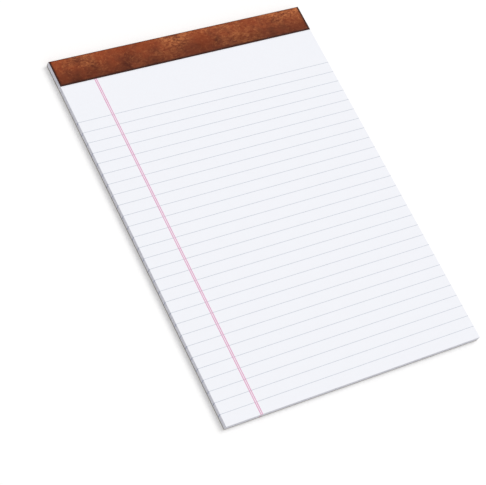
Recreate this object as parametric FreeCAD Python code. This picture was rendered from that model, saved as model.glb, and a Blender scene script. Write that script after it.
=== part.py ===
import FreeCAD, Part
import os

# Letter-size ruled pad, bound at the head, in millimetres.
# X runs across the pad, +Y towards the bound head, +Z up through the sheets.
# The origin is under the pad's centre, on the surface that it rests on.

# Pad
pad_width = 215.9  # 8.5 in
pad_length = 298.45  # 11.75 in, from the foot to the outside of the fold at the head

# Sheets and backing board
sheet_count = 50
sheet_thickness = 0.087
board_thickness = 0.7

# Binding strip, folded round the head
strip_thickness = 0.15
strip_front = 22.0  # head to the front flap's edge
strip_back = 20.0  # head to the back flap's edge
fold_radius = 0.5  # inside of the strip's two folds

# Staples, of flat wire
staple_count = 4
staple_from_side = 27.0  # side of the pad to the middle of the nearest staple
staple_from_head = 10.5
staple_crown = 13.2  # over the outside of the two legs
wire_width = 0.6
wire_thickness = 0.5
wire_bend = 0.1  # inside radius of each bend
clinch_length = 4.0  # from the outside of a leg to its bent-over tip
staple_clearance = 0.05

# Print on the top sheet
ink_thickness = 0.03
rule_width = 0.3
rule_pitch = 8.73  # 11/32 in
first_rule = 31.3  # front flap's edge to the first rule
foot_margin = 6.0  # least distance from the last rule to the foot
margin_from_left = 28.2  # left edge to the middle of the double margin line
margin_spacing = 1.3
margin_line_width = 0.7

# Heights, from the underside up
board_bottom = strip_thickness
board_top = board_bottom + board_thickness
sheets_top = board_top + sheet_count * sheet_thickness

# Places along and across the pad
foot_y = -pad_length / 2
head_y = pad_length / 2
stack_head_y = head_y - strip_thickness
strip_edge_y = head_y - strip_front
left_x = -pad_width / 2
right_x = pad_width / 2

# From a right-angled corner to the middle of its arc, along each side, for a radius of 1
arc_inset = 1 - 0.5**0.5


def box(x_from, x_to, y_from, y_to, z_from, z_to):
    """A block between two corners."""
    corner = FreeCAD.Vector(x_from, y_from, z_from)
    return Part.makeBox(x_to - x_from, y_to - y_from, z_to - z_from, corner)


def rounded_path(points, radius):
    """Straight runs from point to point, every right-angled corner between them rounded."""
    edges = []
    start = points[0]
    for before, corner, after in zip(points, points[1:], points[2:]):
        back = (before - corner).normalize()
        onward = (after - corner).normalize()
        arc_from = corner + back * radius
        arc_middle = corner + (back + onward) * radius * arc_inset
        arc_to = corner + onward * radius
        edges.append(Part.makeLine(start, arc_from))
        edges.append(Part.Arc(arc_from, arc_middle, arc_to).toShape())
        start = arc_to
    edges.append(Part.makeLine(start, points[-1]))
    return edges


def head_block(offset):
    """The stack with its two head edges rounded, grown outwards at the head, top and bottom."""
    head = stack_head_y + offset
    bottom = board_bottom - offset
    top = sheets_top + offset
    radius = min(fold_radius, (sheets_top - board_bottom) / 2) + offset
    corners = [(foot_y, bottom), (head, bottom), (head, top), (foot_y, top)]
    points = [FreeCAD.Vector(left_x, y, z) for y, z in corners]
    foot = Part.makeLine(points[-1], points[0])
    outline = Part.Wire(rounded_path(points, radius) + [foot])
    return Part.Face(outline).extrude(FreeCAD.Vector(pad_width, 0, 0))


def layer(z_from, z_to):
    """What lies between two heights of the stack, pierced for the staples."""
    whole = box(left_x, right_x, foot_y, head_y, z_from, z_to).common(head_block(0))
    for x in staple_places():
        whole = whole.cut(staple_room(x))
    return whole


def staple_places():
    """The middle of each crown across the pad."""
    first = left_x + staple_from_side
    spacing = (pad_width - 2 * staple_from_side) / (staple_count - 1)
    return [first + index * spacing for index in range(staple_count)]


def staple(x_middle):
    """Flat wire: crown on the sheets, two legs, tips bent inwards on the back of the board."""
    leg = staple_crown / 2
    tip = leg - clinch_length
    top = sheets_top - staple_clearance
    bottom = board_bottom + staple_clearance
    outside = [(-tip, bottom), (-leg, bottom), (-leg, top), (leg, top), (leg, bottom), (tip, bottom)]
    leg -= wire_thickness
    top -= wire_thickness
    bottom += wire_thickness
    inside = [(tip, bottom), (leg, bottom), (leg, top), (-leg, top), (-leg, bottom), (-tip, bottom)]

    y = head_y - staple_from_head - wire_width / 2
    outer_points = [FreeCAD.Vector(x_middle + x, y, z) for x, z in outside]
    inner_points = [FreeCAD.Vector(x_middle + x, y, z) for x, z in inside]
    right_end = Part.makeLine(outer_points[-1], inner_points[0])
    left_end = Part.makeLine(inner_points[-1], outer_points[0])
    outer_edges = rounded_path(outer_points, wire_bend + wire_thickness)
    inner_edges = rounded_path(inner_points, wire_bend)
    outline = Part.Wire(outer_edges + [right_end] + inner_edges + [left_end])
    return Part.Face(outline).extrude(FreeCAD.Vector(0, wire_width, 0))


def staple_room(x_middle):
    """The groove, the two leg slots and the two tip grooves that a staple is pressed into."""
    y = head_y - staple_from_head
    side = wire_width / 2 + staple_clearance
    across = (y - side, y + side)
    deep = wire_thickness + 2 * staple_clearance
    reach = staple_crown / 2 + staple_clearance
    tip_reach = staple_crown / 2 - clinch_length - staple_clearance
    left, right = x_middle - reach, x_middle + reach
    return [
        box(left, right, *across, sheets_top - deep, sheets_top),
        box(left, left + deep, *across, board_bottom, sheets_top),
        box(right - deep, right, *across, board_bottom, sheets_top),
        box(left, x_middle - tip_reach, *across, board_bottom, board_bottom + deep),
        box(x_middle + tip_reach, right, *across, board_bottom, board_bottom + deep),
    ]


def binding_strip():
    """One strip folded round the head, as thick on its flaps as on its folds."""
    sleeve = head_block(strip_thickness).cut(head_block(0))
    sheets_front = box(left_x, right_x, foot_y, strip_edge_y, board_top, sheets_top + strip_thickness)
    board_back = box(left_x, right_x, foot_y, head_y - strip_back, 0, board_top)
    return sleeve.cut([sheets_front, board_back])


def printed(x_from, x_to, y_from, y_to):
    """A field of ink on the top sheet."""
    return box(x_from, x_to, y_from, y_to, sheets_top, sheets_top + ink_thickness)


def margin_sides():
    """The left and right side of each margin line."""
    middle = left_x + margin_from_left
    centres = [middle - margin_spacing / 2, middle + margin_spacing / 2]
    return [(x - margin_line_width / 2, x + margin_line_width / 2) for x in centres]


def margin_lines():
    """Two lines from the front flap's edge to the foot."""
    lines = [printed(left, right, foot_y, strip_edge_y) for left, right in margin_sides()]
    return Part.makeCompound(lines)


def rule_places():
    """Where each rule lies along the pad, from the head down."""
    first_y = strip_edge_y - first_rule
    count = int((first_y - foot_y - foot_margin) / rule_pitch) + 1
    return [first_y - index * rule_pitch for index in range(count)]


def blue_rules():
    """Rules from side to side, broken where the margin lines cross them."""
    starts = [left_x] + [right for left, right in margin_sides()]
    ends = [left for left, right in margin_sides()] + [right_x]
    runs = []
    for y in rule_places():
        for x_from, x_to in zip(starts, ends):
            runs.append(printed(x_from, x_to, y - rule_width / 2, y + rule_width / 2))
    return Part.makeCompound(runs)


pieces = {
    "ruled_sheets": layer(board_top, sheets_top),
    "backing_board": layer(board_bottom, board_top),
    "binding_strip": binding_strip(),
    "margin_lines": margin_lines(),
    "blue_rules": blue_rules(),
}
for number, x in enumerate(staple_places(), 1):
    pieces[f"staple_{number}"] = staple(x)

os.makedirs("parts", exist_ok=True)
for name, shape in pieces.items():
    shape.exportStep(f"parts/{name}.step")
    print(name, len(shape.Solids), round(shape.Volume, 3), shape.isValid())
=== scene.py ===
import math
import random

import bpy
from mathutils import Matrix, Vector, noise


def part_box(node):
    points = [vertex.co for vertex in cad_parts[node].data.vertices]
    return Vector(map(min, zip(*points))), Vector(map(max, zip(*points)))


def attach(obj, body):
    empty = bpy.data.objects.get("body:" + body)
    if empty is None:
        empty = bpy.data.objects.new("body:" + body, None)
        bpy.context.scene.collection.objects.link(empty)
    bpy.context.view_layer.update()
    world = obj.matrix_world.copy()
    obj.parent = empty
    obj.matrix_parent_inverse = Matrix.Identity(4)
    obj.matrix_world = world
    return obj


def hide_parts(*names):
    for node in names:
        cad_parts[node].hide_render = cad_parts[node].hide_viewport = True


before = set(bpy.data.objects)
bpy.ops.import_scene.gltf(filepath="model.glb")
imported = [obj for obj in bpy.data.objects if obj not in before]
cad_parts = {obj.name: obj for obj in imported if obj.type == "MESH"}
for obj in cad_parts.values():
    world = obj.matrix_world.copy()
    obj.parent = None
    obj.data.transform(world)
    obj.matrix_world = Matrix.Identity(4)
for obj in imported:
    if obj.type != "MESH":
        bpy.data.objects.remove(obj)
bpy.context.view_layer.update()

mm = 0.001
hair = 0.01 * mm  # less than this apart counts as the same place
facing = 0.5  # a face whose normal reaches this along an axis faces that way
noiseSpan = (0.3, 0.7)  # nearly all of a noise texture lies between these

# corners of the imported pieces, which place everything below
sheetsLow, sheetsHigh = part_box("ruled_sheets")
stripLow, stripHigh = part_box("binding_strip")


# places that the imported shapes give

def corners(node):
    return [vertex.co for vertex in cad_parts[node].data.vertices]


def middles(values):
    # lines printed side by side: the middle of each
    sides = []
    for value in sorted(values):
        if not sides or value - sides[-1] > hair:
            sides.append(value)
    return [(low + high) / 2 for low, high in zip(sides[::2], sides[1::2])]


ruleYs = middles(co.y for co in corners("blue_rules"))
marginXs = middles(co.x for co in corners("margin_lines"))
stripTop = [co.y for co in corners("binding_strip") if co.z > stripHigh.z - hair]
stripBottom = [co.y for co in corners("binding_strip") if co.z < stripLow.z + hair]
frontEdge, foldY = min(stripTop), max(stripTop)
backEdge = min(stripBottom)
stripThickness = stripHigh.z - sheetsHigh.z
outerRadius = stripHigh.y - foldY
innerRadius = outerRadius - stripThickness
stripMiddleZ = (stripLow.z + stripHigh.z) / 2


# modelling helpers

def deselectAll():
    for obj in bpy.context.selected_objects:
        obj.select_set(False)


def makeActive(obj):
    deselectAll()
    bpy.context.view_layer.objects.active = obj
    obj.select_set(True)


def startEdit(obj):
    makeActive(obj)
    bpy.ops.object.mode_set(mode="EDIT")


def pick(obj, kind, test):
    # selects the edges or faces that pass the test, and nothing else
    bpy.ops.mesh.select_mode(type=kind)
    bpy.ops.mesh.select_all(action="DESELECT")
    bpy.ops.object.mode_set(mode="OBJECT")
    for element in obj.data.edges if kind == "EDGE" else obj.data.polygons:
        element.select = test(element)
    bpy.ops.object.mode_set(mode="EDIT")


def addBlock(name, low, high):
    # a cube stretched between two corners, its place put into its mesh
    deselectAll()
    low, high = Vector(low), Vector(high)
    bpy.ops.mesh.primitive_cube_add(size=1, location=(low + high) / 2)
    block = bpy.context.object
    block.name = name
    block.scale = high - low
    bpy.ops.object.transform_apply(location=True, rotation=False, scale=True)
    return block


def joined(name, objects):
    deselectAll()
    for obj in objects:
        obj.select_set(True)
    bpy.context.view_layer.objects.active = objects[0]
    bpy.ops.object.join()
    whole = bpy.context.object
    whole.name = name
    return whole


def copyOf(obj):
    copy = obj.copy()
    copy.data = obj.data.copy()
    bpy.context.collection.objects.link(copy)
    return copy


def applyModifier(obj, kind, **settings):
    makeActive(obj)
    modifier = obj.modifiers.new(kind.title(), kind)
    for key, value in settings.items():
        setattr(modifier, key, value)
    bpy.ops.object.modifier_apply(modifier=modifier.name)


def place(piece, slot, *nodes):
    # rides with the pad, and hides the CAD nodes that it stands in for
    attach(piece, "root")
    if nodes:
        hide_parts(*nodes)


# node helpers

def addNode(tree, kind, **settings):
    made = tree.nodes.new("ShaderNode" + kind)
    for key, value in settings.items():
        setattr(made, key, value)
    return made


def feed(tree, socket, value):
    if isinstance(value, bpy.types.NodeSocket):
        tree.links.new(value, socket)
    else:
        socket.default_value = value


def sums(tree, operation, *values):
    # a Math node fed with numbers or sockets
    made = addNode(tree, "Math", operation=operation)
    for socket, value in zip(made.inputs, values):
        feed(tree, socket, value)
    return made.outputs[0]


def blendColour(tree, factor, first, second, mode="MIX"):
    made = addNode(tree, "Mix", data_type="RGBA", blend_type=mode)
    feed(tree, made.inputs[0], factor)
    for socket, colour in zip(made.inputs[6:], (first, second)):
        feed(tree, socket, (*colour, 1) if isinstance(colour, tuple) else colour)
    return made.outputs[2]


def toned(tree, colour, tone):
    # a colour times a tone near 1
    grey = addNode(tree, "CombineColor")
    for socket in grey.inputs:
        feed(tree, socket, tone)
    return blendColour(tree, 1.0, colour, grey.outputs[0], mode="MULTIPLY")


def objectCoords(tree):
    return addNode(tree, "TexCoord").outputs["Object"]


def stretched(tree, coords, scale, turn=0.0, shift=(0, 0, 0)):
    made = addNode(tree, "Mapping")
    feed(tree, made.inputs["Vector"], coords)
    made.inputs["Scale"].default_value = scale
    made.inputs["Rotation"].default_value = (0, 0, turn)
    made.inputs["Location"].default_value = shift
    return made.outputs["Vector"]


def noiseValue(tree, coords, scale=1.0, detail=3.0, roughness=0.5, distortion=0.0):
    made = addNode(tree, "TexNoise")
    feed(tree, made.inputs["Vector"], coords)
    feed(tree, made.inputs["Scale"], scale)
    made.inputs["Detail"].default_value = detail
    made.inputs["Roughness"].default_value = roughness
    made.inputs["Distortion"].default_value = distortion
    return made.outputs["Fac"]


def cells(tree, coords, scale, feature):
    # how far a point is from the middle of its Voronoi cell
    made = addNode(tree, "TexVoronoi", feature=feature)
    feed(tree, made.inputs["Vector"], coords)
    made.inputs["Scale"].default_value = scale
    return made.outputs["Distance"]


def ramp(tree, factor, stops):
    # a colour ramp, its stops given as position and colour
    made = addNode(tree, "ValToRGB")
    feed(tree, made.inputs["Fac"], factor)
    elements = made.color_ramp.elements
    while len(elements) < len(stops):
        elements.new(0.5)
    for element, (position, colour) in zip(elements, stops):
        element.position = position
        element.color = (*colour, 1)
    return made.outputs["Color"]


def smooth(tree, value, span, result=(0.0, 1.0)):
    # eases from the first result to the second while the value crosses the span
    made = addNode(tree, "MapRange", interpolation_type="SMOOTHSTEP")
    feed(tree, made.inputs["Value"], value)
    for title, number in zip(("From Min", "From Max", "To Min", "To Max"), (*span, *result)):
        made.inputs[title].default_value = number
    return made.outputs["Result"]


def bump(tree, height, strength, distance):
    made = addNode(tree, "Bump")
    made.inputs["Strength"].default_value = strength
    made.inputs["Distance"].default_value = distance
    feed(tree, made.inputs["Height"], height)
    return made.outputs["Normal"]


def newMaterial(name, roughness, specular):
    material = bpy.data.materials.new(name)
    material.use_nodes = True
    shader = material.node_tree.nodes["Principled BSDF"]
    shader.inputs["Roughness"].default_value = roughness
    shader.inputs["Specular IOR Level"].default_value = specular
    return material, material.node_tree, shader


def newGroup(name, inputs, outputs):
    # an empty shader group with named number sockets
    tree = bpy.data.node_groups.new(name, "ShaderNodeTree")
    for title in inputs:
        tree.interface.new_socket(title, in_out="INPUT", socket_type="NodeSocketFloat")
    for title in outputs:
        tree.interface.new_socket(title, in_out="OUTPUT", socket_type="NodeSocketFloat")
    return tree, tree.nodes.new("NodeGroupInput"), tree.nodes.new("NodeGroupOutput")


def useGroup(tree, group, **values):
    made = tree.nodes.new("ShaderNodeGroup")
    made.node_tree = group
    for title, value in values.items():
        made.inputs[title.title()].default_value = value
    return made


# paper fibres, in the sheets, the ink on them, the board and the strip's cut edges

fibre = {
    "drawnOut": (1, 0.45, 1),  # fibres lie along the pad
    "cloudScale": 0.12,  # of the fibres' own scale
    "cloudShare": 0.4,
}


def fibreGroup():
    tree, given, put = newGroup("fibres", ("Scale", "Contrast"), ("Tone", "Height"))
    coords = objectCoords(tree)
    scale = given.outputs["Scale"]
    cloudScale = sums(tree, "MULTIPLY", scale, fibre["cloudScale"])
    cloudy = noiseValue(tree, coords, cloudScale, detail=2.0)
    fine = noiseValue(tree, stretched(tree, coords, fibre["drawnOut"]), scale, detail=5.0, roughness=0.65)
    cloudPart = sums(tree, "MULTIPLY", cloudy, fibre["cloudShare"])
    finePart = sums(tree, "MULTIPLY", fine, 1 - fibre["cloudShare"])
    swing = sums(tree, "SUBTRACT", sums(tree, "ADD", cloudPart, finePart), 0.5)
    swing = sums(tree, "MULTIPLY", swing, given.outputs["Contrast"])
    feed(tree, put.inputs["Tone"], sums(tree, "ADD", swing, 1.0))
    feed(tree, put.inputs["Height"], fine)
    return tree


fibres = fibreGroup()


# writing paper

paper = {
    "colour": (0.895, 0.905, 0.95),
    "fibreScale": 900,  # per metre, as every scale here
    "fibreContrast": 0.03,
}

cutSides = {
    # a little darker than the paper's face: painted shade of the gaps between the sheets
    "colour": (0.79, 0.79, 0.86),
    "ruleStain": (0.20, 0.25, 0.42),
    "marginStain": (0.72, 0.24, 0.40),
    "layerScale": (12, 12, 7000),  # even along a sheet, and new from sheet to sheet
    "layerTone": (0.93, 1.04),
    "fuzzScale": (500, 500, 3000),
    "fuzzTone": (-0.03, 0.03),
    "soakScale": (300, 300, 9000),
    "soakSpan": (0.35, 0.65),
    "soakCover": (0.6, 1.0),  # how much of the paper's edge a stain hides
}


def writingPaper():
    material, tree, shader = newMaterial("writing_paper", roughness=0.75, specular=0.2)
    grain = useGroup(tree, fibres, scale=paper["fibreScale"], contrast=paper["fibreContrast"])
    feed(tree, shader.inputs["Base Color"], toned(tree, paper["colour"], grain.outputs["Tone"]))
    normal = bump(tree, grain.outputs["Height"], strength=0.12, distance=0.02 * mm)
    feed(tree, shader.inputs["Normal"], normal)
    return material


def cutEdges():
    # the cut sides of the sheets: each sheet a little lighter or darker than the next
    material, tree, shader = newMaterial("cut_edges", roughness=0.85, specular=0.1)
    coords = objectCoords(tree)
    layers = noiseValue(tree, stretched(tree, coords, cutSides["layerScale"]), detail=2.0)
    fuzz = noiseValue(tree, stretched(tree, coords, cutSides["fuzzScale"]), detail=4.0, roughness=0.7)
    layerTone = smooth(tree, layers, noiseSpan, cutSides["layerTone"])
    tone = sums(tree, "ADD", layerTone, smooth(tree, fuzz, noiseSpan, cutSides["fuzzTone"]))
    feed(tree, shader.inputs["Base Color"], toned(tree, cutSides["colour"], tone))
    feed(tree, shader.inputs["Normal"], bump(tree, fuzz, strength=0.4, distance=0.03 * mm))
    return material


def stainedEdges(name, stain):
    # where printed lines run out at the cut and colour the edge
    material, tree, shader = newMaterial(name, roughness=0.85, specular=0.1)
    coords = stretched(tree, objectCoords(tree), cutSides["soakScale"])
    soak = noiseValue(tree, coords, detail=3.0, roughness=0.6)
    cover = smooth(tree, soak, cutSides["soakSpan"], cutSides["soakCover"])
    feed(tree, shader.inputs["Base Color"], blendColour(tree, cover, cutSides["colour"], stain))
    return material


# sheets

sheets = {
    "count": 50,
    "air": 0.012 * mm,  # between two sheets
    "jog": 0.1 * mm,  # how far a sheet may sit back from the cut
    "wave": 0.03 * mm,  # how unevenly a side is cut
    "wavesPerMetre": 40,
    "waveStep": 0.7,  # how unlike the next sheet's waves are
    "printShift": 0.22 * mm,  # how far one sheet's lines may lie from the next one's
    "stainWidth": 0.6 * mm,  # of a printed line where it runs out at a side
    "seed": 11,
}
paperSlot, edgeSlot, ruleStainSlot, marginStainSlot = range(4)
sheetPitch = (sheetsHigh.z - sheetsLow.z) / sheets["count"]

staples = {
    "wireThickness": 0.5 * mm,
    "clearance": 0.05 * mm,
}
stapleNames = sorted(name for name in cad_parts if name.startswith("staple"))

perforation = {
    "fromStrip": 0.7 * mm,
    "slit": 0.9 * mm,
    "bridge": 0.5 * mm,
    "width": 0.12 * mm,
    "fromSide": 0.6 * mm,
}

# a UV map: a band for each cut side of the stack, wide enough to hold its thin edges' stains
sideBands = {"left": 0.02, "right": 0.27, "foot": 0.52, "head": 0.77}
sideBandHeight = 0.2
hiddenBandHeight = 0.012  # for the faces between the sheets, which nobody sees


def headInset(z):
    # how far the stack is rounded back at a height, inside the strip's folds
    depth = innerRadius - min(innerRadius, sheetsHigh.z - z)
    return innerRadius - math.sqrt(max(innerRadius**2 - depth**2, 0))


def sheetSlot(face):
    half = sheets["stainWidth"] / 2
    if abs(face.normal.z) > facing:
        return paperSlot
    if abs(face.normal.x) > facing and any(abs(face.center.y - y) < half for y in ruleYs):
        return ruleStainSlot
    if face.normal.y < -facing and any(abs(face.center.x - x) < half for x in marginXs):
        return marginStainSlot
    return edgeSlot


def firstSheet():
    # the lowest sheet, cut where its printed lines run out at the sides
    top = sheetsLow.z + sheetPitch - sheets["air"]
    sheet = addBlock("sheet", sheetsLow, (sheetsHigh.x, sheetsHigh.y, top))
    cuts = [((0, y, 0), (0, 1, 0)) for y in ruleYs] + [((x, 0, 0), (1, 0, 0)) for x in marginXs]
    startEdit(sheet)
    for middle, across in cuts:
        for side in (-0.5, 0.5):
            bpy.ops.mesh.select_all(action="SELECT")
            cutPlace = Vector(middle) + side * sheets["stainWidth"] * Vector(across)
            bpy.ops.mesh.bisect(plane_co=cutPlace, plane_no=across)
    bpy.ops.object.mode_set(mode="OBJECT")
    ruleEnds = stainedEdges("rule_run_out", cutSides["ruleStain"])
    marginEnds = stainedEdges("margin_run_out", cutSides["marginStain"])
    for material in (writingPaper(), cutEdges(), ruleEnds, marginEnds):  # in the order of the slots
        sheet.data.materials.append(material)
    for face in sheet.data.polygons:
        face.material_index = sheetSlot(face)
    return sheet


def jog(sheet, index):
    # lifts a copy to its place, a little off the cut, its print a little off the next one's
    lift = index * sheetPitch
    backFoot = sheets["jog"] * random.random() ** 2  # squared, so that most lie near the cut
    backSides = sheets["jog"] * random.random() ** 2
    leftShare = random.random()
    shift = random.uniform(-1, 1) * sheets["printShift"]
    backHead = headInset(sheetsLow.z + lift + sheetPitch) + headInset(sheetsHigh.z - lift)
    for vertex in sheet.data.vertices:
        co = vertex.co
        ripplePlace = Vector((co.y * sheets["wavesPerMetre"], index * sheets["waveStep"], 0))
        ripple = sheets["wave"] * (0.5 + 0.5 * noise.noise(ripplePlace))
        if abs(co.x - sheetsLow.x) < hair:
            co.x += backSides * leftShare + ripple
        elif abs(co.x - sheetsHigh.x) < hair:
            co.x -= backSides * (1 - leftShare) + ripple
        if abs(co.y - sheetsLow.y) < hair:
            co.y += backFoot
        elif abs(co.y - sheetsHigh.y) < hair:
            co.y -= backHead
        else:
            co.y += shift
        co.z += lift


def sheetStack(sheet):
    # all but the top sheet
    random.seed(sheets["seed"])
    copies = []
    for index in range(sheets["count"] - 1):
        copies.append(copyOf(sheet))
        jog(copies[-1], index)
    return joined("sheets_below", copies)


def sideOf(face):
    # which cut side of the stack a face is in, if any
    near = sheets["jog"] + sheets["wave"] + innerRadius
    gaps = {"left": face.center.x - sheetsLow.x, "right": sheetsHigh.x - face.center.x,
            "foot": face.center.y - sheetsLow.y, "head": sheetsHigh.y - face.center.y}
    side = min(gaps, key=gaps.get)
    return side if abs(face.normal.z) < facing and gaps[side] < near else None


def layOutSides(stack):
    # a UV map named OFBake, each cut side of the stack in a band of its own; the export
    # bakes on the map of this name
    size = sheetsHigh - sheetsLow
    layer = stack.data.uv_layers.new(name="OFBake")
    for face in stack.data.polygons:
        side = sideOf(face)
        for loop in face.loop_indices:
            co = stack.data.vertices[stack.data.loops[loop].vertex_index].co - sheetsLow
            if not side:
                layer.data[loop].uv = (co.x / size.x, hiddenBandHeight * co.y / size.y)
            else:
                along = co.y / size.y if side in ("left", "right") else co.x / size.x
                layer.data[loop].uv = (along, sideBands[side] + sideBandHeight * co.z / size.z)


def stapleRoom(name):
    # a groove for the crown, its two ends drawn down into slots for the legs
    low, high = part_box(name)
    grow = staples["clearance"]
    deep = staples["wireThickness"] + 2 * grow
    left, right = low[0] - grow, high[0] + grow
    legs = (left + deep, right - deep)  # where each leg's slot ends
    grooveLow = (left, low[1] - grow, sheetsHigh.z - deep)
    grooveHigh = (right, high[1] + grow, sheetsHigh.z + deep)
    room = addBlock("staple_room", grooveLow, grooveHigh)
    startEdit(room)
    for x in legs:
        bpy.ops.mesh.select_all(action="SELECT")
        bpy.ops.mesh.bisect(plane_co=(x, 0, 0), plane_no=(1, 0, 0))
    pick(room, "FACE", lambda face: face.normal.z < -facing and not legs[0] < face.center.x < legs[1])
    down = (0, 0, sheetsLow.z - sheetsHigh.z)
    bpy.ops.mesh.extrude_region_move(TRANSFORM_OT_translate={"value": down})
    bpy.ops.object.mode_set(mode="OBJECT")
    return room


def pierce(*pieces):
    # the sheets are stapled through, under the strip
    rooms = joined("staple_rooms", [stapleRoom(name) for name in stapleNames])
    for piece in pieces:
        applyModifier(piece, "BOOLEAN", object=rooms, operation="DIFFERENCE", solver="EXACT")
    bpy.data.objects.remove(rooms)


def perforate(sheet):
    # a row of slits just below the strip
    step = perforation["slit"] + perforation["bridge"]
    start = sheetsLow.x + perforation["fromSide"]
    rowY = frontEdge - perforation["fromStrip"]
    half = perforation["width"] / 2
    # the slits reach past both faces of the top sheet
    low = (start, rowY - half, sheetsHigh.z - 2 * sheetPitch)
    high = (start + perforation["slit"], rowY + half, sheetsHigh.z + sheetPitch)
    slits = addBlock("slits", low, high)
    count = int((sheetsHigh.x - sheetsLow.x - 2 * perforation["fromSide"]) / step)
    applyModifier(slits, "ARRAY", count=count, use_relative_offset=False,
                  use_constant_offset=True, constant_offset_displace=(step, 0, 0))
    applyModifier(sheet, "BOOLEAN", object=slits, operation="DIFFERENCE", solver="EXACT")
    bpy.data.objects.remove(slits)


def topSheet(sheet):
    # square to the stack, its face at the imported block's height
    top = copyOf(sheet)
    top.name = "top_sheet"
    lift = sheetsHigh.z - sheetsLow.z - sheetPitch + sheets["air"]
    for vertex in top.data.vertices:
        vertex.co.z += lift
        if abs(vertex.co.y - sheetsHigh.y) < hair:
            vertex.co.y -= innerRadius
    perforate(top)
    return top


print("sheets")
oneSheet = firstSheet()
sheetsBelow = sheetStack(oneSheet)
sheetOnTop = topSheet(oneSheet)
bpy.data.objects.remove(oneSheet)
pierce(sheetsBelow, sheetOnTop)
layOutSides(sheetsBelow)
place(sheetsBelow, "paper", "ruled_sheets")
place(sheetOnTop, "paper")


# binding strip

strip = {
    "acrossCount": 72,  # faces across the pad, along each flap and round each fold
    "alongCount": 8,
    "foldSteps": 6,
    "cutBevel": 0.03 * mm,
    "bevelPast": math.radians(60),
    "smoothUnder": math.radians(40),
    "weld": 0.001 * mm,
    "deep": (0.094, 0.018, 0.0080),
    "brown": (0.151, 0.029, 0.0098),
    "rust": (0.206, 0.036, 0.0088),
    "mottleScale": 95,
    "mottleStops": (0.34, 0.5, 0.66),  # where the mottle is deep, brown and rust
    "redderScale": 40,
    "redderSpan": (0.45, 0.62),
    "mostRed": 0.7,
    "tan": (0.45, 0.149, 0.050),
    "patchScale": 26,
    "patchStretch": (0.6, 1, 1),
    "patchShift": (0.77, 0.42, 0.61),  # sets where the tan patches fall
    "patchSpan": (0.43, 0.62),
    "patchWear": (0.14, 1.0),  # how worn the print is between the patches and on them
    "streakScale": 620,
    "streakStretch": (0.55, 1, 1),
    "streakTurn": math.radians(32),  # they lean across the strip
    "streakSpan": (0.36, 0.64),
    "streakSwing": 0.14,
    "tanSpan": (0.38, 0.66),
    "mostTan": 0.95,
    "creaseScale": 120,
    "creaseWidth": 0.018,
    "mostCreased": 0.9,
    "creaseBreaks": (0.42, 0.58),
    "creasedBetween": 0.4,  # how clear the creases are between the patches
    # painted shade and highlight: darker beside the front edge, lighter at the head, as light falls on a
    # bulged strip
    "paintedShadeToHighlight": (0.68, 1.3),  # beside the front edge and at the head
    # the dark print of the border line, also used for the painted shade on the folds
    "border": (0.036, 0.009, 0.0045),
    "borderWidth": 2.2 * mm,  # the dark line, with the soft part of it
    "borderSolid": 0.4,  # how much of its width is dark all over
    "borderWander": 1.2 * mm,
    "mostBorder": 0.92,
    "paintedFoldShadeWidth": 1.2 * mm,  # painted shade on the folds, where they turn away from the light
    "foldShadeSolid": 0.3,
    "mostFoldShade": 0.7,
    "poreScale": 1400,
    "roughness": (0.66, 0.5),
    "cut": (0.05, 0.017, 0.010),
    "cutFibreScale": 2500,
    "cutFibreContrast": 0.6,
}


def stripEdges(tree, coords):
    # how far a point is from the strip's ends, its front or back edge, and the nearest fold
    split = addNode(tree, "SeparateXYZ")
    feed(tree, split.inputs[0], coords)
    x, y, z = split.outputs
    fromSide = sums(tree, "SUBTRACT", stripHigh.x, sums(tree, "ABSOLUTE", x))
    onFront = sums(tree, "GREATER_THAN", z, stripMiddleZ)
    edgeY = sums(tree, "ADD", backEdge, sums(tree, "MULTIPLY", onFront, frontEdge - backEdge))
    fromEdge = sums(tree, "SUBTRACT", y, edgeY)
    fromHead = sums(tree, "SUBTRACT", stripHigh.y, y)
    fromMiddle = sums(tree, "ABSOLUTE", sums(tree, "SUBTRACT", z, stripMiddleZ))
    fromFace = sums(tree, "SUBTRACT", stripHigh.z - stripMiddleZ, fromMiddle)
    headSquare = sums(tree, "MULTIPLY", fromHead, fromHead)
    faceSquare = sums(tree, "MULTIPLY", fromFace, fromFace)
    fromFold = sums(tree, "SQRT", sums(tree, "ADD", headSquare, faceSquare))
    return fromSide, fromEdge, fromFold


def mottled(tree, coords, mottle):
    # deep brown to rust, redder in places
    shades = zip(strip["mottleStops"], (strip["deep"], strip["brown"], strip["rust"]))
    colour = ramp(tree, mottle, list(shades))
    redder = noiseValue(tree, coords, strip["redderScale"], detail=3.0, distortion=0.3)
    redder = smooth(tree, redder, strip["redderSpan"], (0.0, strip["mostRed"]))
    return blendColour(tree, redder, colour, strip["rust"])


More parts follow.
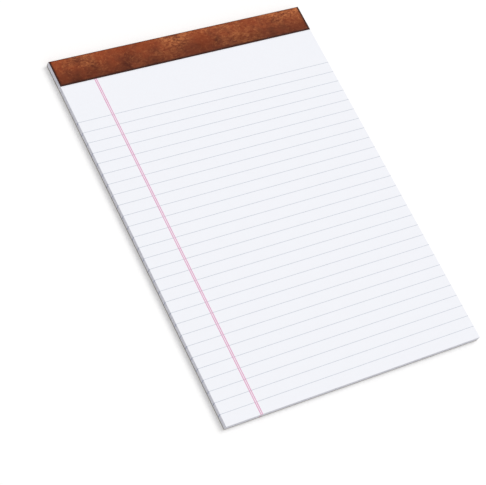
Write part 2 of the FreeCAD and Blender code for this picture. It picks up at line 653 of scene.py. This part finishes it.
def worn(tree, coords, colour):
    # fine streaks, strongest on patches where the print is worn to tan
    patchCoords = stretched(tree, coords, strip["patchStretch"], shift=strip["patchShift"])
    patches = noiseValue(tree, patchCoords, strip["patchScale"], detail=3.0)
    patches = smooth(tree, patches, strip["patchSpan"], strip["patchWear"])
    leaning = stretched(tree, coords, strip["streakStretch"], turn=strip["streakTurn"])
    streaks = noiseValue(tree, leaning, strip["streakScale"], detail=6.0, roughness=0.8, distortion=0.4)
    swings = smooth(tree, streaks, strip["streakSpan"], (-strip["streakSwing"], strip["streakSwing"]))
    colour = toned(tree, colour, sums(tree, "ADD", sums(tree, "MULTIPLY", patches, swings), 1.0))
    tanned = smooth(tree, streaks, strip["tanSpan"], (0.0, strip["mostTan"]))
    colour = blendColour(tree, sums(tree, "MULTIPLY", patches, tanned), colour, strip["tan"])

    # thin pale veins, where the leather creased, clearest on the patches
    creases = noiseValue(tree, coords, strip["creaseScale"], detail=3.0, roughness=0.55, distortion=0.8)
    offCrease = sums(tree, "ABSOLUTE", sums(tree, "SUBTRACT", creases, 0.5))
    crease = smooth(tree, offCrease, (0.0, strip["creaseWidth"]), (strip["mostCreased"], 0.0))
    broken = sums(tree, "MULTIPLY", crease, smooth(tree, streaks, strip["creaseBreaks"]))
    between = strip["creasedBetween"]
    clear = sums(tree, "MULTIPLY_ADD", patches, 1 - between, between)
    return blendColour(tree, sums(tree, "MULTIPLY", broken, clear), colour, strip["tan"])


def leatherPrintAndShade():
    # aged brown leather, printed on smooth paper, with a dark line round its cut edges, and painted shade
    # and highlight along it and on its folds
    material, tree, shader = newMaterial("leather_print_and_painted_shade", roughness=0.6, specular=0.08)
    coords = objectCoords(tree)
    mottle = noiseValue(tree, coords, strip["mottleScale"], detail=6.0, roughness=0.6, distortion=0.2)
    colour = worn(tree, coords, mottled(tree, coords, mottle))

    # painted shade beside the front edge and a painted highlight towards the head, a printed dark line at
    # the cut edges and painted shade on the folds
    fromSide, fromEdge, fromFold = stripEdges(tree, coords)
    colour = toned(tree, colour, smooth(tree, fromEdge, (0.0, foldY - frontEdge), strip["paintedShadeToHighlight"]))
    wander = sums(tree, "MULTIPLY", sums(tree, "SUBTRACT", mottle, 0.5), strip["borderWander"])
    nearest = sums(tree, "ADD", sums(tree, "MINIMUM", fromSide, fromEdge), wander)
    borderSpan = (strip["borderSolid"] * strip["borderWidth"], strip["borderWidth"])
    border = smooth(tree, nearest, borderSpan, (strip["mostBorder"], 0.0))
    # painted shade on the folds, in the border's dark colour
    foldShadeSpan = (strip["foldShadeSolid"] * strip["paintedFoldShadeWidth"], strip["paintedFoldShadeWidth"])
    fold = smooth(tree, fromFold, foldShadeSpan, (strip["mostFoldShade"], 0.0))
    colour = blendColour(tree, sums(tree, "MAXIMUM", border, fold), colour, strip["border"])
    feed(tree, shader.inputs["Base Color"], colour)

    pores = cells(tree, coords, strip["poreScale"], "SMOOTH_F1")
    feed(tree, shader.inputs["Roughness"], smooth(tree, mottle, noiseSpan, strip["roughness"]))
    feed(tree, shader.inputs["Normal"], bump(tree, pores, strength=0.12, distance=0.03 * mm))
    return material


def stripCut():
    # the cut edges of the strip, dark brown
    material, tree, shader = newMaterial("strip_cut", roughness=0.8, specular=0.1)
    grain = useGroup(tree, fibres, scale=strip["cutFibreScale"], contrast=strip["cutFibreContrast"])
    feed(tree, shader.inputs["Base Color"], toned(tree, strip["cut"], grain.outputs["Tone"]))
    return material


def bindingStrip():
    # a flat flap, turned down over the head and again under the board
    deselectAll()
    bpy.ops.mesh.primitive_grid_add(x_subdivisions=strip["acrossCount"], y_subdivisions=strip["alongCount"],
                                    size=1, location=(0, (frontEdge + foldY) / 2, stripHigh.z))
    flap = bpy.context.object
    flap.name = "leather_strip"
    flap.scale = (stripHigh.x - stripLow.x, foldY - frontEdge, 1)
    bpy.ops.object.transform_apply(location=True, rotation=False, scale=True)

    startEdit(flap)
    pick(flap, "EDGE", lambda edge: all(flap.data.vertices[v].co.y > foldY - hair for v in edge.vertices))
    quarterTurn = dict(steps=strip["foldSteps"], angle=math.pi / 2, axis=(1, 0, 0))
    bpy.ops.mesh.spin(center=(0, foldY, stripHigh.z - outerRadius), **quarterTurn)
    drop = stripHigh.z - stripLow.z - 2 * outerRadius
    bpy.ops.mesh.extrude_region_move(TRANSFORM_OT_translate={"value": (0, 0, -drop)})
    bpy.ops.mesh.spin(center=(0, foldY, stripLow.z + outerRadius), **quarterTurn)
    backStep = (0, (backEdge - foldY) / strip["alongCount"], 0)
    for step in range(strip["alongCount"]):
        bpy.ops.mesh.extrude_region_move(TRANSFORM_OT_translate={"value": backStep})
    bpy.ops.mesh.select_all(action="SELECT")
    bpy.ops.mesh.remove_doubles(threshold=strip["weld"])
    bpy.ops.mesh.normals_make_consistent(inside=False)
    bpy.ops.object.mode_set(mode="OBJECT")
    onTop = next(face for face in flap.data.polygons if face.center.z > stripHigh.z - hair)
    if onTop.normal.z < 0:  # the printed side faces outwards
        startEdit(flap)
        bpy.ops.mesh.select_all(action="SELECT")
        bpy.ops.mesh.flip_normals()
        bpy.ops.object.mode_set(mode="OBJECT")

    for material in (leatherPrintAndShade(), stripCut()):
        flap.data.materials.append(material)
    applyModifier(flap, "SOLIDIFY", thickness=stripThickness, offset=-1, use_even_offset=True,
                  material_offset_rim=1)
    applyModifier(flap, "BEVEL", width=strip["cutBevel"], segments=2, limit_method="ANGLE",
                  angle_limit=strip["bevelPast"], material=-1)
    bpy.ops.object.shade_smooth_by_angle(angle=strip["smoothUnder"])
    return flap


print("binding strip")
leatherStrip = bindingStrip()
place(leatherStrip, "binding", "binding_strip")


# ink, board and staples keep their CAD shapes

ink = {
    "blue": (0.46, 0.505, 0.575),
    "pink": (0.745, 0.29, 0.495),
    "fibreScale": 1600,
    "fibreContrast": 1.0,
    "coverSpan": (0.8, 1.15),
    "cover": (1.0, 0.8),
}


def printedInk(name, colour):
    # takes unevenly on the fibres, so the paper shows through in places
    material, tree, shader = newMaterial(name, roughness=0.7, specular=0.2)
    grain = useGroup(tree, fibres, scale=ink["fibreScale"], contrast=ink["fibreContrast"])
    cover = smooth(tree, grain.outputs["Tone"], ink["coverSpan"], ink["cover"])
    feed(tree, shader.inputs["Base Color"], blendColour(tree, cover, paper["colour"], colour))
    return material


board = {
    "grey": (0.30, 0.265, 0.22),
    "pale": (0.40, 0.36, 0.30),
    "fibreScale": 700,
    "fibreContrast": 0.3,
    "pulpScale": 420,
    "pulpStretch": (1, 0.35, 1),
    "pulpStops": (0.35, 0.7),  # where the pulp is grey and pale
    "fleck": (0.12, 0.09, 0.07),
    "fleckScale": 480,
    "fleckStretch": (1, 0.5, 1),
    "fleckSpan": (0.06, 0.14),
    "mostFleck": 0.8,
    "strewnScale": 220,  # flecks lie only in some places
    "strewnSpan": (0.46, 0.56),
}


def chipboard():
    # grey-brown pulp with paler fibres and dark flecks
    material, tree, shader = newMaterial("chipboard", roughness=0.9, specular=0.2)
    coords = objectCoords(tree)
    grain = useGroup(tree, fibres, scale=board["fibreScale"], contrast=board["fibreContrast"])
    pulpCoords = stretched(tree, coords, board["pulpStretch"])
    pulp = noiseValue(tree, pulpCoords, board["pulpScale"], detail=6.0, roughness=0.7)
    colour = ramp(tree, pulp, list(zip(board["pulpStops"], (board["grey"], board["pale"]))))
    specks = cells(tree, stretched(tree, coords, board["fleckStretch"]), board["fleckScale"], "F1")
    dots = smooth(tree, specks, board["fleckSpan"], (board["mostFleck"], 0.0))
    strewn = smooth(tree, noiseValue(tree, coords, board["strewnScale"]), board["strewnSpan"])
    colour = blendColour(tree, sums(tree, "MULTIPLY", dots, strewn), colour, board["fleck"])
    feed(tree, shader.inputs["Base Color"], toned(tree, colour, grain.outputs["Tone"]))
    feed(tree, shader.inputs["Normal"], bump(tree, pulp, strength=0.35, distance=0.06 * mm))
    return material


wire = {
    "dark": (0.50, 0.50, 0.51),
    "bright": (0.68, 0.68, 0.70),
    "lineScale": (200, 9000, 9000),
    "roughness": (0.25, 0.42),
}


def stapleWire():
    # drawn wire with faint lines along it
    material, tree, shader = newMaterial("staple_wire", roughness=0.3, specular=0.5)
    shader.inputs["Metallic"].default_value = 1.0
    drawn = noiseValue(tree, stretched(tree, objectCoords(tree), wire["lineScale"]), detail=3.0)
    colour = ramp(tree, drawn, list(zip(noiseSpan, (wire["dark"], wire["bright"]))))
    feed(tree, shader.inputs["Base Color"], colour)
    feed(tree, shader.inputs["Roughness"], smooth(tree, drawn, noiseSpan, wire["roughness"]))
    return material


def dress(node, material):
    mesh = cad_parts[node].data
    mesh.materials.clear()
    mesh.materials.append(material)


print("ink, board and staples")
dress("blue_rules", printedInk("blue_rule_ink", ink["blue"]))
dress("margin_lines", printedInk("pink_margin_ink", ink["pink"]))
dress("backing_board", chipboard())
drawnWire = stapleWire()
for name in stapleNames:
    dress(name, drawnWire)


# floor, light and camera

studio = {
    "floorSize": 6.0,
    "floorColour": (0.86, 0.855, 0.85, 1),
    "floorLift": 0.17,  # how much whiter the camera sees the floor
    "worldStrength": 0.6,
    "white": (1, 1, 1, 1),
    "sunFrom": (0.55, 0.12, 0.83),
    "sunStrength": 1.5,
    "sunAngle": math.radians(35),
}

view = {
    "focalPixels": 1719.34,
    "imageWidth": 486,
    "sensor": 36.0,
    "place": (-0.61045, -0.41671, 0.99270),  # from the middle of the top face
    "right": (0.843107, -0.430794, 0.321850),
    "down": (-0.249064, -0.843279, -0.476285),
    "forward": (0.476590, 0.321398, -0.818270),
}


def cameraSees(tree):
    # 1 for what the camera, a reflection or glass sees directly
    rays = addNode(tree, "LightPath")
    seen = sums(tree, "MAXIMUM", rays.outputs["Is Camera Ray"], rays.outputs["Is Glossy Ray"])
    return sums(tree, "MAXIMUM", seen, rays.outputs["Is Transmission Ray"])


def layFloor():
    deselectAll()
    bpy.ops.mesh.primitive_plane_add(size=studio["floorSize"], location=(0, 0, 0))
    floor = bpy.context.object
    floor.name = "floor"
    material, tree, shader = newMaterial("floor_white", roughness=0.95, specular=0.0)
    shader.inputs["Base Color"].default_value = studio["floorColour"]
    shader.inputs["Emission Color"].default_value = studio["white"]
    lift = sums(tree, "MULTIPLY", cameraSees(tree), studio["floorLift"])
    feed(tree, shader.inputs["Emission Strength"], lift)
    floor.data.materials.append(material)


def lightStudio():
    world = bpy.data.worlds.new("studio")
    bpy.context.scene.world = world
    world.use_nodes = True
    tree = world.node_tree
    background = tree.nodes["Background"]
    background.inputs["Color"].default_value = studio["white"]
    extra = sums(tree, "MULTIPLY", cameraSees(tree), 1 - studio["worldStrength"])
    feed(tree, background.inputs["Strength"], sums(tree, "ADD", extra, studio["worldStrength"]))

    lamp = bpy.data.lights.new("sun", "SUN")
    lamp.energy = studio["sunStrength"]
    lamp.angle = studio["sunAngle"]
    sun = bpy.data.objects.new("sun", lamp)
    sun.rotation_euler = Vector(studio["sunFrom"]).to_track_quat("Z", "Y").to_euler()
    bpy.context.collection.objects.link(sun)


def setCamera():
    lens = bpy.data.cameras.new("camera")
    lens.sensor_width = view["sensor"]
    lens.lens = view["focalPixels"] / view["imageWidth"] * view["sensor"]
    camera = bpy.data.objects.new("camera", lens)
    right, down, forward = (Vector(view[key]) for key in ("right", "down", "forward"))
    turn = Matrix((right, -down, -forward)).transposed().to_4x4()
    cameraPlace = Vector(view["place"]) + Vector((0, 0, sheetsHigh.z))
    camera.matrix_world = Matrix.Translation(cameraPlace) @ turn
    bpy.context.collection.objects.link(camera)
    bpy.context.scene.camera = camera


print("studio")
layFloor()
lightStudio()
setCamera()
bpy.context.scene.view_settings.view_transform = "Standard"
